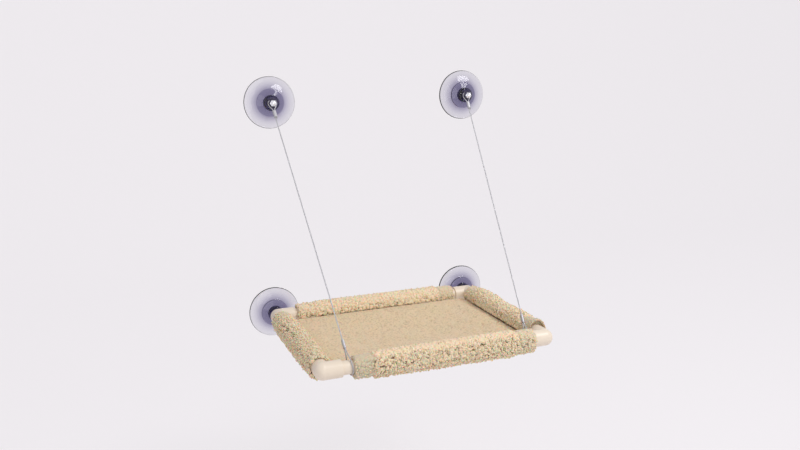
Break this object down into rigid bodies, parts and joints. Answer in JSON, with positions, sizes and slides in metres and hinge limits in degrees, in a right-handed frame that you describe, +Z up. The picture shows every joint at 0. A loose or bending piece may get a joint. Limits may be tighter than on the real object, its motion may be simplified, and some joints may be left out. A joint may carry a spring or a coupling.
{
  "type": "window mounted cat perch",
  "caption": "Cat perch for a window: a fleece-covered tray on a plastic pipe frame, carried by suction cups on the glass and hung from steel cables, and able to tip up.",
  "frame": {"origin": "on the glass, midway between the centres of the two lower suction cups", "axes": "+X along the window to the right seen from the room, +Y into the glass, +Z up"},
  "size_m": [0.467, 0.3453, 0.466],
  "materials": {
    "clear_vinyl": "clear flexible vinyl with a blue-violet tint that deepens in the thick hub",
    "stainless_steel": "bright turned steel",
    "black_nylon": "flat black nylon washer",
    "chrome": "polished domed cap nut",
    "steel_wire": "twisted steel wire rope",
    "ferrule_metal": "crimped oval ferrule",
    "cream_pvc": "semi-gloss cream pressure pipe and fittings",
    "sherpa_fleece": "curly golden beige sherpa fleece",
    "fleece_panel": "the same fleece, flatter, stretched over the seat",
    "hook_and_loop_tape": "woven hook-and-loop tape"
  },
  "bodies": {
    "window_side": {"suction_cup_upper_left": "clear_vinyl", "suction_cup_upper_right": "clear_vinyl", "suction_cup_lower_left": "clear_vinyl", "suction_cup_lower_right": "clear_vinyl", "upper_studs": "stainless_steel", "lower_studs": "stainless_steel", "dome_washers": "stainless_steel", "lower_nuts": "stainless_steel", "hub_washers": "black_nylon", "cap_washers": "black_nylon", "cable_left": "steel_wire", "cable_right": "steel_wire", "upper_ferrules": "ferrule_metal"},
    "tray": {"rear_elbow_left": "cream_pvc", "rear_elbow_right": "cream_pvc", "front_elbow_left": "cream_pvc", "front_elbow_right": "cream_pvc", "rear_rail": "cream_pvc", "front_rail": "cream_pvc", "side_rail_left": "cream_pvc", "side_rail_right": "cream_pvc", "rear_sleeve": "sherpa_fleece", "front_sleeve": "sherpa_fleece", "left_sleeve": "sherpa_fleece", "right_sleeve": "sherpa_fleece", "seat_panel": "fleece_panel", "hook_strips": "hook_and_loop_tape", "loop_strips": "hook_and_loop_tape", "lower_ferrules": "ferrule_metal"},
    "cap_nut_left": {"cap_nut_left": "chrome"},
    "cap_nut_right": {"cap_nut_right": "chrome"}
  },
  "joints": [
    {"name": "tray_tip", "type": "hinge", "parent": "window_side", "child": "tray", "pos_m": [0, -0.0348, 0], "axis": [-1, 0, 0], "range_deg": [0, 45], "deforming": ["cable_left", "cable_right"]},
    {"name": "cap_nut_left_turn", "type": "hinge", "parent": "window_side", "child": "cap_nut_left", "pos_m": [-0.174, -0.0272, 0.376], "axis": [0, -1, 0], "continuous": true},
    {"name": "cap_nut_right_turn", "type": "hinge", "parent": "window_side", "child": "cap_nut_right", "pos_m": [0.192, -0.0272, 0.376], "axis": [0, -1, 0], "continuous": true}
  ]
}
